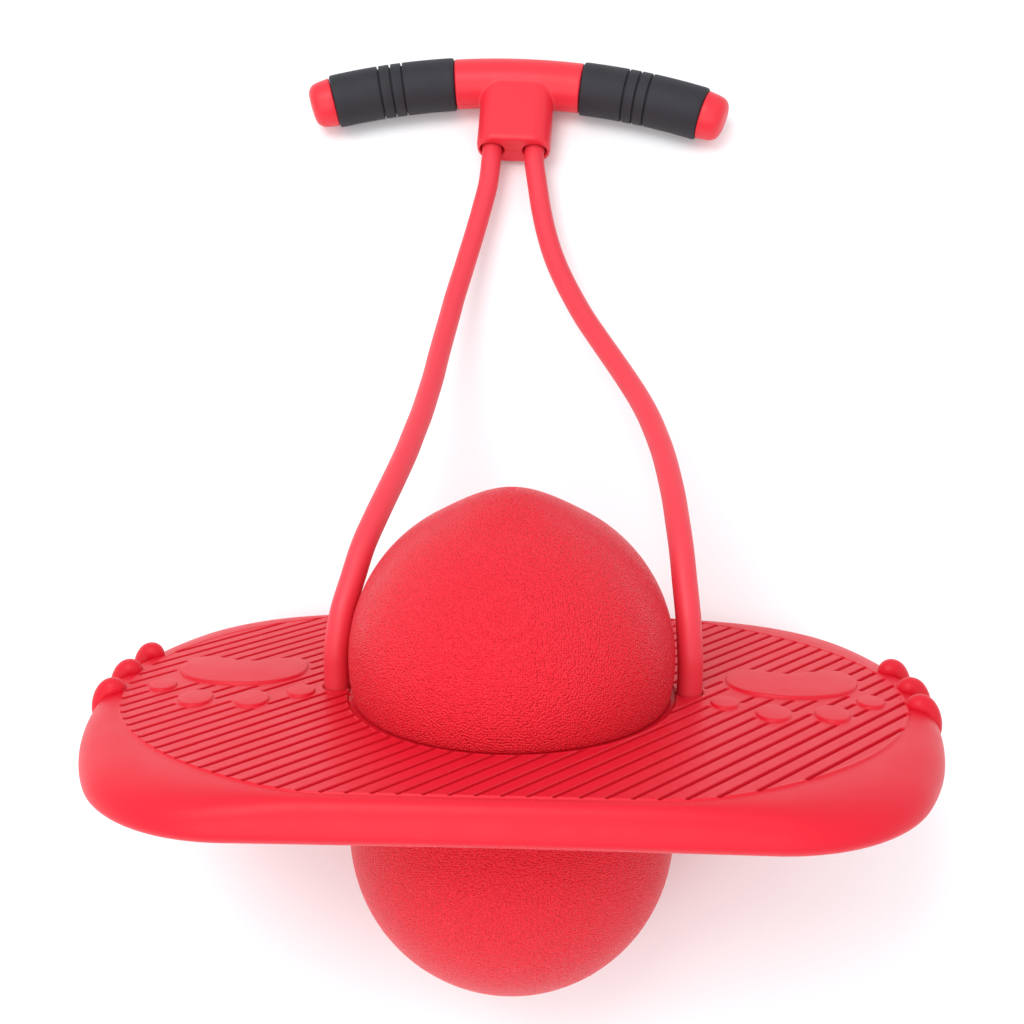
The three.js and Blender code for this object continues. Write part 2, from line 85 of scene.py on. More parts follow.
# y, z, x of the left rope and x of the right rope, from the deck to the handle.
ROPE_ROUTE = (
    (-0.1814, 0.1549, -0.1105, 0.1108), (-0.1685, 0.1632, -0.1100, 0.1104),
    (-0.1477, 0.1702, -0.1068, 0.1090), (-0.1250, 0.1696, -0.1018, 0.1071),
    (-0.1026, 0.1665, -0.0971, 0.1055), (-0.0812, 0.1596, -0.0914, 0.1036),
    (-0.0607, 0.1501, -0.0861, 0.1018), (-0.0409, 0.1390, -0.0815, 0.0994),
    (-0.0214, 0.1271, -0.0776, 0.0965), (-0.0020, 0.1147, -0.0747, 0.0924),
    (0.0175, 0.1024, -0.0718, 0.0873), (0.0372, 0.0904, -0.0696, 0.0805),
    (0.0573, 0.0789, -0.0675, 0.0720), (0.0778, 0.0682, -0.0659, 0.0625),
    (0.0987, 0.0584, -0.0637, 0.0522), (0.1200, 0.0496, -0.0611, 0.0417),
    (0.1416, 0.0419, -0.0583, 0.0323), (0.1636, 0.0354, -0.0545, 0.0234),
    (0.1858, 0.0301, -0.0504, 0.0159), (0.2082, 0.0261, -0.0461, 0.0101),
    (0.2308, 0.0232, -0.0419, 0.0056), (0.2536, 0.0218, -0.0378, 0.0021),
    (0.2763, 0.0214, -0.0361, -0.0011),
)

BEND_RADIUS = 500.0
BAR_RADIUS = 20.0
BAR_HALF_LENGTH = 52.5
CORE_HALF_LENGTH = 154.5
STEM_WIDTH, STEM_THICKNESS, STEM_CORNER, STEM_END = 60.0, 35.0, 15.0, -64.6
SOCKET_SPACING = 35.0
GRIP_RADIUS = 21.3
CAP_RADIUS = 19.4
SCREWS = ((-42, -1.8), (42, -1.8), (0, -16), (0, -52))  # x and y of each screw


# ---------- camera ----------

CAMERA_PLACE = (0.0460, -0.3934, 1.0584)
CAMERA_RIGHT = (0.9986, 0.0286, -0.0443)
CAMERA_FORWARD = (-0.0512, 0.3326, -0.9417)
CAMERA_LENS = 51.93


def make_camera():
    """The camera stands almost over the board and looks down at it."""
    data = bpy.data.cameras.new("camera")
    data.sensor_width = 36
    data.lens = CAMERA_LENS
    camera = bpy.data.objects.new("camera", data)
    bpy.context.scene.collection.objects.link(camera)
    right = Vector(CAMERA_RIGHT).normalized()
    forward = Vector(CAMERA_FORWARD).normalized()
    up = right.cross(forward).normalized()
    right = forward.cross(up)
    turn = Matrix((right, up, -forward)).transposed().to_4x4()
    camera.matrix_world = Matrix.Translation(CAMERA_PLACE) @ turn
    bpy.context.scene.camera = camera


# ---------- mesh tools ----------

def loft(rings, loop=False):
    """Vertices and faces of a skin through rings of equal length; open ends are capped."""
    count = len(rings[0])
    faces = []
    for i in range(len(rings) if loop else len(rings) - 1):
        a, b = i * count, (i + 1) % len(rings) * count
        faces += [(a + j, a + (j + 1) % count, b + (j + 1) % count, b + j) for j in range(count)]
    if not loop:
        last = (len(rings) - 1) * count
        faces.append(tuple(reversed(range(count))))
        faces.append(tuple(range(last, last + count)))
    return np.concatenate(rings), faces


def joined(shapes):
    """Several (vertices, faces) as one."""
    verts, faces, start = [], [], 0
    for v, f in shapes:
        verts.append(v)
        faces += [tuple(i + start for i in face) for face in f]
        start += len(v)
    return np.concatenate(verts), faces


def mesh_of(name, shape):
    """An object made of (vertices, faces), with every face turned out."""
    verts, faces = shape
    mesh = bpy.data.meshes.new(name)
    mesh.from_pydata([tuple(v) for v in np.asarray(verts, float)], [], faces)
    bm = bmesh.new()
    bm.from_mesh(mesh)
    bmesh.ops.recalc_face_normals(bm, faces=bm.faces)
    bm.to_mesh(mesh)
    bm.free()
    obj = bpy.data.objects.new(name, mesh)
    bpy.context.scene.collection.objects.link(obj)
    return obj


def apply_modifiers(obj):
    graph = bpy.context.evaluated_depsgraph_get()
    mesh = bpy.data.meshes.new_from_object(obj.evaluated_get(graph))
    obj.modifiers.clear()
    obj.data = mesh


def boolean(obj, tool, operation):
    """obj joined with, or cut by, tool, which is removed."""
    modifier = obj.modifiers.new("boolean", "BOOLEAN")
    modifier.operation = operation
    modifier.solver = "MANIFOLD"
    modifier.object = tool
    apply_modifiers(obj)
    bpy.data.objects.remove(tool, do_unlink=True)


def lathe(profile, segments):
    """A closed surface of revolution about z from [radius, z] rows, from pole to pole or as a closed ring."""
    profile = np.asarray(profile, float)
    turn = np.arange(segments) * 2 * np.pi / segments
    on_axis = profile[:, 0] < 1e-6
    rings, caps = [], []
    for (r, z), pole in zip(profile, on_axis):
        if pole:
            caps.append(z)
            continue
        rings.append(np.stack([r * np.cos(turn), r * np.sin(turn), np.full(segments, z)], 1))
    if not caps:
        return loft(rings, loop=True)
    verts, faces = loft(rings)
    faces = faces[:-2]
    start = len(verts)
    verts = np.concatenate([verts, [(0, 0, z) for z in caps]])
    last = start - segments
    for j in range(segments):
        k = (j + 1) % segments
        faces.append((start, k, j))
        faces.append((start + 1, last + j, last + k))
    return verts, faces


def rounded(profile, radius, steps=4):
    """A profile with each inner corner rounded off."""
    points = [np.array(p, float) for p in profile]
    out = [points[0]]
    for before, at, after in zip(points, points[1:], points[2:]):
        r = min(radius, np.linalg.norm(before - at) * 0.45, np.linalg.norm(after - at) * 0.45)
        start = at + (before - at) / max(np.linalg.norm(before - at), 1e-9) * r
        end = at + (after - at) / max(np.linalg.norm(after - at), 1e-9) * r
        for i in range(steps + 1):
            t = i / steps
            out.append((1 - t) ** 2 * start + 2 * t * (1 - t) * at + t * t * end)
    out.append(points[-1])
    return out


def smooth_line(points, step):
    """A Catmull-Rom line through the points, in even steps of about `step`."""
    points = np.asarray(points, float)
    ends = [2 * points[0] - points[1], *points, 2 * points[-1] - points[-2]]
    fine = []
    for p0, p1, p2, p3 in zip(ends, ends[1:], ends[2:], ends[3:]):
        for t in np.arange(0, 1, 0.05):
            fine.append(0.5 * (2 * p1 + (p2 - p0) * t + (2 * p0 - 5 * p1 + 4 * p2 - p3) * t * t
                               + (3 * p1 - p0 - 3 * p2 + p3) * t ** 3))
    fine.append(points[-1])
    fine = np.array(fine)
    along = np.concatenate([[0], np.cumsum(np.linalg.norm(np.diff(fine[:, :3], axis=0), axis=1))])
    even = np.linspace(0, along[-1], max(2, round(along[-1] / step) + 1))
    return np.stack([np.interp(even, along, fine[:, k]) for k in range(fine.shape[1])], 1)


def tube(line, radii, sides, side_hint):
    """Rings round a line, each starting on the side nearest to side_hint."""
    tangents = np.gradient(line, axis=0)
    tangents /= np.linalg.norm(tangents, axis=1)[:, None]
    turn = np.arange(sides) * 2 * np.pi / sides
    rings = []
    for point, tangent, radius in zip(line, tangents, radii):
        side = np.array(side_hint, float)
        side -= tangent * side.dot(tangent)
        side /= np.linalg.norm(side)
        other = np.cross(tangent, side)
        rings.append(point + radius * (np.cos(turn)[:, None] * side + np.sin(turn)[:, None] * other))
    return rings


def finish_piece(obj, look, body, node, sharp=35):
    """Gives a piece its look, shading, slot and body, and puts it in place of its CAD node."""
    obj.data.materials.clear()
    obj.data.materials.append(look)
    obj.data.shade_smooth()
    obj.data.set_sharp_from_angle(angle=math.radians(sharp))
    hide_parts(node)
    if body:
        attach(obj, body)


# ---------- materials ----------

CLOUD_SCALE = 9
WEAR_SCALE = 60
WEAR = 0.08
PEBBLE_SPREAD = 0.7
# How much the pebbles' crevices are darkened, as painted shade.
PEBBLE_PAINTED_SHADE = 0.75


def material(name, colour, other, roughness, grain_scale, grain_height, specular=0.5, pebbles=False):
    """A moulded surface: two close colours in soft clouds, uneven roughness, and a fine grain; a pebbled grain
    also has painted shade darkening its crevices.
    """
    made = bpy.data.materials.new(name)
    made.use_nodes = True
    nodes, links = made.node_tree.nodes, made.node_tree.links
    shader = nodes["Principled BSDF"]
    shader.inputs["Specular IOR Level"].default_value = specular
    place = nodes.new("ShaderNodeTexCoord")

    def texture(kind, scale, **values):
        pattern = nodes.new(kind)
        pattern.inputs["Scale"].default_value = scale
        for socket, value in values.items():
            pattern.inputs[socket].default_value = value
        links.new(place.outputs["Object"], pattern.inputs["Vector"])
        return pattern

    def spread(value, low, high):
        ramp = nodes.new("ShaderNodeMapRange")
        ramp.inputs["To Min"].default_value = low
        ramp.inputs["To Max"].default_value = high
        links.new(value, ramp.inputs["Value"])
        return ramp.outputs["Result"]

    def mixed(factor, a, b):
        mix = nodes.new("ShaderNodeMix")
        mix.data_type = "RGBA"
        links.new(factor, mix.inputs["Factor"])
        for socket, value in (("A", a), ("B", b)):
            if isinstance(value, tuple):
                mix.inputs[socket].default_value = (*value, 1)
            else:
                links.new(value, mix.inputs[socket])
        return mix.outputs["Result"]

    clouds = texture("ShaderNodeTexNoise", CLOUD_SCALE, Detail=5).outputs["Fac"]
    tint = mixed(clouds, colour, other)
    wear = texture("ShaderNodeTexNoise", WEAR_SCALE, Detail=6).outputs["Fac"]
    links.new(spread(wear, roughness - WEAR, roughness + WEAR), shader.inputs["Roughness"])
    bump = nodes.new("ShaderNodeBump")
    bump.inputs["Distance"].default_value = grain_height
    if pebbles:
        # The distance from a pebble's middle grows towards the crevices, which are lower; there the colour is
        # darkened as painted shade.
        height = texture("ShaderNodeTexVoronoi", grain_scale, Randomness=PEBBLE_SPREAD).outputs["Distance"]
        bump.invert = True
        tint = mixed(spread(height, -0.6, 1.1), tint, tuple(c * PEBBLE_PAINTED_SHADE for c in other))
    else:
        height = texture("ShaderNodeTexNoise", grain_scale, Detail=3).outputs["Fac"]
    links.new(tint, shader.inputs["Base Color"])
    links.new(height, bump.inputs["Height"])
    links.new(bump.outputs["Normal"], shader.inputs["Normal"])
    return made


BOARD_RED = material(
    "board_plastic", (0.68, 0.011, 0.028), (0.64, 0.008, 0.023), 0.42, 900, 0.00006, specular=0.22,
)
BALL_RED = material(
    "ball_pvc", (0.83, 0.022, 0.040), (0.79, 0.018, 0.034), 0.32, 760, 0.0012, specular=0.15, pebbles=True,
)
ROPE_RED = material(
    "rope_rubber", (0.74, 0.030, 0.052), (0.70, 0.026, 0.046), 0.50, 1100, 0.00004,
)
HANDLE_RED = material(
    "handle_plastic", (0.73, 0.018, 0.036), (0.70, 0.015, 0.031), 0.45, 900, 0.00005, specular=0.42,
)
PLUG_RED = material(
    "plug_plastic", (0.70, 0.012, 0.030), (0.66, 0.010, 0.025), 0.40, 900, 0.00004,
)
GRIP_BLACK = material(
    "grip_rubber", (0.020, 0.019, 0.024), (0.015, 0.014, 0.019), 0.62, 1500, 0.00008, specular=0.35,
)
WASHER_WHITE = material(
    "washer_plastic", (0.72, 0.72, 0.70), (0.66, 0.66, 0.64), 0.50, 900, 0.00005,
)
SCREW_STEEL = material(
    "screw_steel", (0.52, 0.53, 0.55), (0.44, 0.45, 0.47), 0.34, 1400, 0.00003,
)
SCREW_STEEL.node_tree.nodes["Principled BSDF"].inputs["Metallic"].default_value = 1.0


# ---------- ropes ----------

ROPE_SPLIT = 11  # the route point where a rope's two meshes meet
ROPE_STEP = 0.003
ROPE_EXIT_HEIGHT = 2
# The lower bend starts just inside the deck, and the upper one ends at the handle's mouth.
LOWER_BEND_HEIGHT = -4
LOWER_BEND = 0.07
UPPER_BEND = 0.036


def rope_line(side):
    """The rope's whole centre line, from inside the deck to inside the handle, and where it is split."""
    column = 2 if side < 0 else 3
    route = [(row[column], row[0], row[1]) for row in ROPE_ROUTE]
    low = [BOARD @ Vector((side * ROPE_FOOT[0], ROPE_FOOT[1], z)) for z in (-12, -5, 1)]
    high = [HANDLE @ Vector((side * SOCKET_SPACING / 2, STEM_END + y, 0)) for y in (3, 9, 14)]
    line = smooth_line([tuple(p) for p in low] + route + [tuple(p) for p in high], ROPE_STEP)
    middle = np.array(route[ROPE_SPLIT])
    return line, int(np.argmin(np.linalg.norm(line - middle, axis=1)))


def make_ropes():
    """Each rope is a lower mesh from inside the deck and an upper one into the handle, meeting at ROPE_SPLIT."""
    for word, side in (("left", -1), ("right", 1)):
        line, split = rope_line(side)
        rings = tube(line, np.full(len(line), ROPE_RADIUS * MM), 32, (1, 0, 0))
        root = BOARD @ Vector((side * ROPE_FOOT[0], ROPE_FOOT[1], LOWER_BEND_HEIGHT))
        rope_exit = BOARD @ Vector((side * ROPE_FOOT[0], ROPE_FOOT[1], ROPE_EXIT_HEIGHT))
        mouth = HANDLE @ Vector((side * SOCKET_SPACING / 2, STEM_END + 1, 0))
        for part, first, last, bodies, leaves, start, end in (
            ("lower", 0, split, ("board", "ropes"), rope_exit, root, root + DECK_NORMAL * LOWER_BEND),
            ("upper", split, len(line) - 1, ("ropes", "handle"), mouth, mouth - Vector((0, UPPER_BEND, 0)), mouth),
        ):
            rope = mesh_of(f"rope_{part}_{word}", loft(rings[first:last + 1]))
            finish_piece(rope, ROPE_RED, None, f"rope_{word}")
            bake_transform(rope)


# ---------- board ----------

OUTLINE_POINTS = 900
RIM_HEIGHT = -19.8
RIM_ROLL = 12.0
# The ribbed area is an ellipse with its front and back cut off, a little fuller at the rear left.
BORDER_ELLIPSE = (243.0, 175.0)
BORDER_FRONT = 157.5
BORDER_BLEND = 60
REAR_LEFT_REACH = 8.0
REAR_LEFT_ANGLE = 2.6
REAR_LEFT_SPREAD = 0.35
COLLAR_RADIUS = 101.6
# Each row is a point of the groove's section, as [half width, height], from the bottom up.
GROOVE = ((0.6, -2.9), (1.0, -2.7), (1.25, -1.8), (1.4, -0.5), (1.8, 0.0), (2.7, 1.0))
SHORTEST_GROOVE = 9
GROOVE_ANGLE = math.radians(49)
GROOVE_PITCH = 10.29
GROOVE_PHASE = -94.3
# How far the grooves stop from the border, a pad, a toe and a rope's middle.
GROOVE_MARGIN = 1.8
PAD_MARGIN = 3.2
TOE_MARGIN = 2.6
ROPE_CLEARING = 13.2
# Where each knuckle crosses the rim, as y and how far out it is moved.
KNUCKLES = {
    -1: ((62, 3.4), (27, 2.1), (-10, 1.0)),
    1: ((54, 0.4), (18, 0.8), (-13.5, 0.2)),
}
# Each row is a knuckle's [distance outside the rim, height, radius], from its blunt end on the deck.
KNUCKLE = (
    (-19.4, -5.5, 1.0), (-18.4, -3.2, 3.6), (-16.2, -0.9, 5.9), (-13.4, 0.3, 7.0),
    (-10.6, -0.2, 7.0), (-8.2, -2.2, 6.6), (-6.0, -6.0, 6.3), (-4.6, -11, 6.0),
    (-3.9, -16, 5.2), (-4.0, -21, 3.9), (-4.6, -25, 2.0),
)
# Each toe of a paw print, as x, y, half width and half depth.
TOES = ((-44, -1, 8.5, 10), (-17.5, -23, 10.5, 13), (17.5, -23, 10.5, 13), (45, -7, 8.5, 10))
# The pad's outline as Bezier curves. Both are drawn for the left end and mirrored to the right.
PAD_CURVE = (
    ((-41, 32), (-41, 46), (-36, 53), (-28, 53)),
    ((-28, 53), (-18, 53), (-12, 46), (0, 45.5)),
    ((0, 45.5), (12, 46), (18, 53), (28, 53)),
    ((28, 53), (36, 53), (41, 46), (41, 32)),
    ((41, 32), (41, 14), (22, 3.5), (0, 3.5)),
    ((0, 3.5), (-22, 3.5), (-41, 14), (-41, 32)),
)


def board_outline(count):
    """Evenly spaced points on the board's outline, counterclockwise."""
    corner_y = HALF_DEPTH - CORNER_RADIUS
    corner_x = math.sqrt((END_RADIUS - CORNER_RADIUS) ** 2 - corner_y ** 2)
    turn = math.atan2(corner_y, corner_x)
    arcs = (
        (0, 0, END_RADIUS, -turn, turn),
        (corner_x, corner_y, CORNER_RADIUS, turn, math.pi / 2),
        (-corner_x, corner_y, CORNER_RADIUS, math.pi / 2, math.pi - turn),
        (0, 0, END_RADIUS, math.pi - turn, math.pi + turn),
        (-corner_x, -corner_y, CORNER_RADIUS, math.pi + turn, 1.5 * math.pi),
        (corner_x, -corner_y, CORNER_RADIUS, 1.5 * math.pi, 2 * math.pi - turn),
    )
    points = []
    for x, y, r, start, end in arcs:
        for a in np.linspace(start, end, 200):
            points.append((x + r * math.cos(a), y + r * math.sin(a)))
    points = np.array(points + [points[0]])
    along = np.concatenate([[0], np.cumsum(np.linalg.norm(np.diff(points, axis=0), axis=1))])
    even = np.arange(count) * along[-1] / count
    return np.stack([np.interp(even, along, points[:, k]) for k in (0, 1)], 1)


def border_radius(angle):
    """How far the ribbed area reaches from the hole's centre, in each direction."""
    a, b = BORDER_ELLIPSE
    ellipse = 1 / np.sqrt((np.cos(angle) / a) ** 2 + (np.sin(angle) / b) ** 2)
    straight = BORDER_FRONT / np.maximum(np.abs(np.sin(angle)), 1e-6)
    smaller = (ellipse ** -BORDER_BLEND + straight ** -BORDER_BLEND) ** (-1 / BORDER_BLEND)
    return smaller + REAR_LEFT_REACH * np.exp(-((angle - REAR_LEFT_ANGLE) / REAR_LEFT_SPREAD) ** 2)


def board_body():
    """The board's skin with its round hole, before anything is added or cut."""
    outline = board_outline(OUTLINE_POINTS)
    angle = np.arctan2(outline[:, 1], outline[:, 0])
    rim = np.hypot(outline[:, 0], outline[:, 1])
    border = border_radius(angle)
    direction = np.stack([np.cos(angle), np.sin(angle)], 1)
    rings = []

    def ring(radius, z):
        radius = np.broadcast_to(radius, angle.shape)
        rings.append(np.column_stack([direction * radius[:, None], np.full(len(angle), z)]))

    # The hole's wall, and the plain collar round it.
    for out, z in ((0, -26), (0, -3), (0.3, -1.9), (1.0, -1.6)):
        ring(HOLE_RADIUS + out, z)
    # The step up to the ribs, with a small bead.
    for out, z in (
        (-0.9, -1.5), (-0.5, -1.35), (-0.2, -1.1), (0.5, -0.2), (0.8, 0.2),
        (1.2, 0.32), (1.7, 0.2), (2.2, 0), (2.8, 0),
    ):
        ring(COLLAR_RADIUS + out, z)
    # The bead and the step down at the ribbed area's border.
    for inset, z in (
        (3.4, 0), (2.5, 0.03), (1.9, 0.3), (1.3, 0.42), (0.7, 0.3), (0.2, -0.2), (-0.2, -0.65), (-0.7, -0.8),
    ):
        ring(border - inset, z)
    # The long slope to the rim, and the tighter roll under it.
    start = border + 0.7
    for i in range(1, 25):
        a = math.pi / 2 * i / 24
        ring(start + (rim - start) * math.sin(a) ** 0.9, -0.8 + (RIM_HEIGHT + 0.8) * (1 - math.cos(a) ** 0.9))
    for i in range(1, 13):
        a = math.pi / 2 * i / 12
        ring(rim - RIM_ROLL * (1 - math.cos(a)), RIM_HEIGHT - (THICKNESS + RIM_HEIGHT) * math.sin(a))
    # The underside's recess, and the raised ring round the hole.
    for inset, z in ((17, -28), (24, -28), (25, -27.8), (26.4, -26.8), (28, -26.5)):
        ring(rim - inset, z)
    for r, z in ((112, -26.5), (110.6, -26.8), (109, -27.8), (108, -28), (98, -28), (96.6, -27.5)):
        ring(r, z)
    return mesh_of("board_visual", loft(rings, loop=True))


def pad_outline():
    """The big pad of a paw print, clockwise."""
    points = []
    for p0, p1, p2, p3 in PAD_CURVE:
        for t in np.arange(0, 1, 1 / 14):
            points.append([(1 - t) ** 3 * a + 3 * t * (1 - t) ** 2 * b + 3 * t * t * (1 - t) * c + t ** 3 * d
                           for a, b, c, d in zip(p0, p1, p2, p3)])
    return np.array(points)


def ellipse_outline(x, y, half_width, half_depth, count=56):
    """An ellipse, clockwise."""
    turn = -np.arange(count) * 2 * np.pi / count
    return np.stack([x + half_width * np.cos(turn), y + half_depth * np.sin(turn)], 1)


def grown(outline, distance):
    """A clockwise outline moved out along its own normals."""
    tangent = np.roll(outline, -1, 0) - np.roll(outline, 1, 0)
    tangent /= np.linalg.norm(tangent, axis=1)[:, None]
    return outline + distance * np.stack([-tangent[:, 1], tangent[:, 0]], 1)


def paw_outlines(side):
    """Every raised outline of the paw print at one end, clockwise, in board frame."""
    shapes = [pad_outline()] + [ellipse_outline(*toe) for toe in TOES]
    placed = []
    for shape in shapes:
        shape = shape * (-side, 1) + PAD_CENTRE[side]
        placed.append(shape if side < 0 else shape[::-1])
    return placed


def raised(outline, height):
    """A low plateau with a soft edge, sunk a little into the deck."""
    steps = (
        (0.5, -1.5), (0.5, 0.0), (0.2, 0.5), (0.0, height - 0.9),
        (-0.25, height - 0.4), (-0.8, height - 0.08), (-1.5, height),
    )
    return loft([np.column_stack([grown(outline, out), np.full(len(outline), z)]) for out, z in steps])


def knuckle(side, y, shift):
    """One finger-like knuckle that wraps over the rim."""
    rows = smooth_line([(d, z, 0, r) for d, z, r in KNUCKLE], 1.0)
    x = math.sqrt(END_RADIUS ** 2 - y ** 2)
    out = np.array([side * x, y, 0]) / END_RADIUS
    line = np.array([side * x, y, 0]) + (rows[:, :1] + shift) * out + rows[:, 1:2] * np.array([0, 0, 1])
    across = np.cross(out, (0, 0, 1))
    return loft(tube(line, rows[:, 3], 40, across))


def inside(points, outline):
    """Which points lie inside an outline."""
    x, y = points[:, 0], points[:, 1]
    found = np.zeros(len(points), bool)
    for (x1, y1), (x2, y2) in zip(outline, np.roll(outline, -1, 0)):
        if y1 == y2:
            continue
        crosses = (y1 > y) != (y2 > y)
        found ^= crosses & (x < (x2 - x1) * (y - y1) / (y2 - y1) + x1)
    return found


def groove_runs():
    """The two ends of each groove on the deck."""
    along = np.array([math.cos(GROOVE_ANGLE), math.sin(GROOVE_ANGLE)])
    across = np.array([-along[1], along[0]])
    blocked = []
    for side in (-1, 1):
        paw = paw_outlines(side)
        blocked.append(grown(paw[0], PAD_MARGIN))
        blocked += [grown(toe, TOE_MARGIN) for toe in paw[1:]]
        blocked.append(ellipse_outline(side * ROPE_FOOT[0], ROPE_FOOT[1], ROPE_CLEARING, ROPE_CLEARING))
    runs = []
    reach = np.arange(-300, 300, 0.25)
    for k in range(-40, 60):
        offset = GROOVE_PHASE + k * GROOVE_PITCH
        points = reach[:, None] * along + offset * across
        radius = np.hypot(points[:, 0], points[:, 1])
        free = radius < border_radius(np.arctan2(points[:, 1], points[:, 0])) - GROOVE_MARGIN
        free &= radius > COLLAR_RADIUS - 1.2
        for outline in blocked:
            free &= ~inside(points, outline)
        edges = np.flatnonzero(np.diff(np.concatenate([[0], free.astype(int), [0]])))
        for first, last in zip(edges[::2], edges[1::2]):
            if reach[last - 1] - reach[first] > SHORTEST_GROOVE:
                runs.append((points[first], points[last - 1]))
    return runs


def groove_cutter(start, end):
    """A trench with round ends and flared lips; its deepest line runs from start to end."""
    along = (end - start) / np.linalg.norm(end - start)
    across = np.array([-along[1], along[0]])
    turn = np.linspace(-np.pi / 2, np.pi / 2, 9)
    rings = []
    for half, z in GROOVE:
        cap = np.stack([np.cos(turn), np.sin(turn)], 1) * half
        front = end + cap[:, :1] * along + cap[:, 1:] * across
        back = start - cap[:, :1] * along - cap[:, 1:] * across
        loop = np.concatenate([front, back])
        rings.append(np.column_stack([loop, np.full(len(loop), z)]))
    return loft(rings)


def moved(shape, x, y):
    return shape[0] + np.array([x, y, 0.0]), shape[1]


def make_board():
    """The board with its paw prints, knuckles, grooves and holes."""
    board = board_body()
    added = []
    for side in (-1, 1):
        added += [raised(outline, PAD_HEIGHT) for outline in paw_outlines(side)]
        boss = lathe([(0, -28), (15.6, -28), (16.4, -27.4), (17.4, -25.5), (0, -25.5)], 48)
        added.append(moved(boss, side * ROPE_FOOT[0], ROPE_FOOT[1]))
    boolean(board, mesh_of("added", joined(added)), "UNION")
    for left, right in zip(KNUCKLES[-1], KNUCKLES[1]):
        pair = joined([knuckle(-1, *left), knuckle(1, *right)])
        boolean(board, mesh_of("knuckles", pair), "UNION")
    boolean(board, mesh_of("grooves", joined([groove_cutter(*run) for run in groove_runs()])), "DIFFERENCE")
    r = ROPE_HOLE_RADIUS
    hole = [
        (0, -30), (r + 1.2, -30), (r + 1.2, -28.1), (r, -27), (r, -1.4),
        (r + 0.3, -0.6), (r + 1.0, 0.0), (r + 2, 1), (0, 1),
    ]
    cuts = [moved(lathe(hole, 48), side * ROPE_FOOT[0], ROPE_FOOT[1]) for side in (-1, 1)]
    vent = [(0, -30), (VENT_RADIUS + 1, -30), (VENT_RADIUS, -26), (VENT_RADIUS, -20), (0, -20)]
    cuts.append(moved(lathe(vent, 32), 0, VENT_Y))
    boolean(board, mesh_of("holes", joined(cuts)), "DIFFERENCE")
    board.data.transform(BOARD)
    finish_piece(board, BOARD_RED, "board", "board", sharp=30)


# ---------- ball ----------

def lobe_arc(lobe, start, end, steps):
    """[radius, height] rows along one lobe, between two latitudes in degrees."""
    centre, radius = lobe
    return [(radius * math.cos(math.radians(a)), centre + radius * math.sin(math.radians(a)))
            for a in np.linspace(start, end, steps)]


def make_ball():
    """Two lobes with a neck between them, and the valve's opening at the upper pole."""
    opening = math.degrees(math.acos((PLUG_HOLE_RADIUS + 0.15) / UPPER_LOBE[1]))
    profile = lobe_arc(LOWER_LOBE, -90, 17, 60)[1:]
    profile += [(96.6, -29.5), (NECK_RADIUS, -28.4), (NECK_RADIUS, -27), (NECK_RADIUS, -8)]
    profile += [(NECK_RADIUS, -3.4), (95.9, -2.4), (96.7, -1.7), (97.4, -1.1)]
    profile += lobe_arc(UPPER_LOBE, -13.2, opening, 64)
    profile = [(r, z + rise(r) if z > UPPER_LOBE[0] else z) for r, z in profile]
    top = profile[-1][1]
    profile = [(0, LOWER_LOBE[0] - LOWER_LOBE[1])] + profile
    profile += [(PLUG_HOLE_RADIUS, top - 0.5), (PLUG_HOLE_RADIUS, top - 7), (0, top - 7)]
    ball = mesh_of("ball_visual", lathe(profile, 180))
    ball.data.transform(BOARD)
    finish_piece(ball, BALL_RED, "board", "ball", sharp=50)


def rise(r):
    """The raised tip round the valve, as extra height over the lobe."""
    return 0 if r >= APEX_RADIUS else APEX_HEIGHT * (1 + math.cos(math.pi * r / APEX_RADIUS)) / 2


def make_valve():
    """The seat is bonded under the ball's skin, and the plug's head is flush with the pole."""
    face = VALVE_FACE
    seat = rounded([
        (3.3, face - 16), (6, face - 16), (9, face - 11), (9, face - 6),
        (5, face - 6), (5, face - 1.6), (3.3, face - 1.6),
    ], 0.4)
    seat = mesh_of("valve_seat_visual", lathe(seat, 64))
    seat.data.transform(BOARD)
    finish_piece(seat, PLUG_RED, "board", "valve_seat")
    plug = rounded([
        (0, face - 14), (2, face - 14), (3, face - 12), (3, face - 1.3), (5, face - 1.3), (5, face - 0.3),
        (3.4, face - 0.1), (3.1, face - 0.5), (1.4, face - 0.45), (1.2, face), (0, face),
    ], 0.25)
    plug = mesh_of("valve_plug_visual", lathe(plug, 64))
    plug.data.transform(BOARD)
    finish_piece(plug, PLUG_RED, "valve_plug", "valve_plug")


def make_rope_ends():
    """Under the deck, each rope goes through a washer and ends in a moulded knob."""
    foot = [(0, -42), (7.2, -42), (8, -41), (8, -13), (7.6, -12.2), (0, -12.2)]
    washer = rounded([
        (8.3, -29.8), (8.3, -31.3), (13.8, -31.3), (13.8, -28.3), (8.3, -28.3), (8.3, -29.8),
    ], 0.7)[:-1]
    knob = rounded([
        (0, -45.6), (8.2, -45.6), (11.2, -43.6), (12.2, -40.6),
        (12.2, -31.6), (8.3, -31.6), (8.3, -42.3), (0, -42.3),
    ], 1.2)
    for word, side in (("left", -1), ("right", 1)):
        for name, profile, look, slot in (
            ("rope_foot", foot, ROPE_RED, "rope_rubber"),
            ("rope_washer", washer, WASHER_WHITE, "washer_plastic"),
            ("rope_knob", knob, ROPE_RED, "rope_rubber"),
        ):
            shape = moved(lathe(profile, 64), side * ROPE_FOOT[0], ROPE_FOOT[1])
            made = mesh_of(f"{name}_visual_{word}", shape)
            made.data.transform(BOARD)
            finish_piece(made, look, "board", f"{name}_{word}")


# ---------- handle ----------

VOXEL = 0.8
HALF_SEAM = 0.14
GRIP_INNER_RADIUS = 16.8
GRIP_RING_SPACING = 9.6
GRIP_RINGS = {-1: 105, 1: 99}


def bent(points):
    """Bends points whose axis is x into the bar's arc."""
    angle = points[:, 0] / BEND_RADIUS
    reach = BEND_RADIUS + points[:, 1]
    return np.column_stack([reach * np.sin(angle), reach * np.cos(angle) - BEND_RADIUS, points[:, 2]])


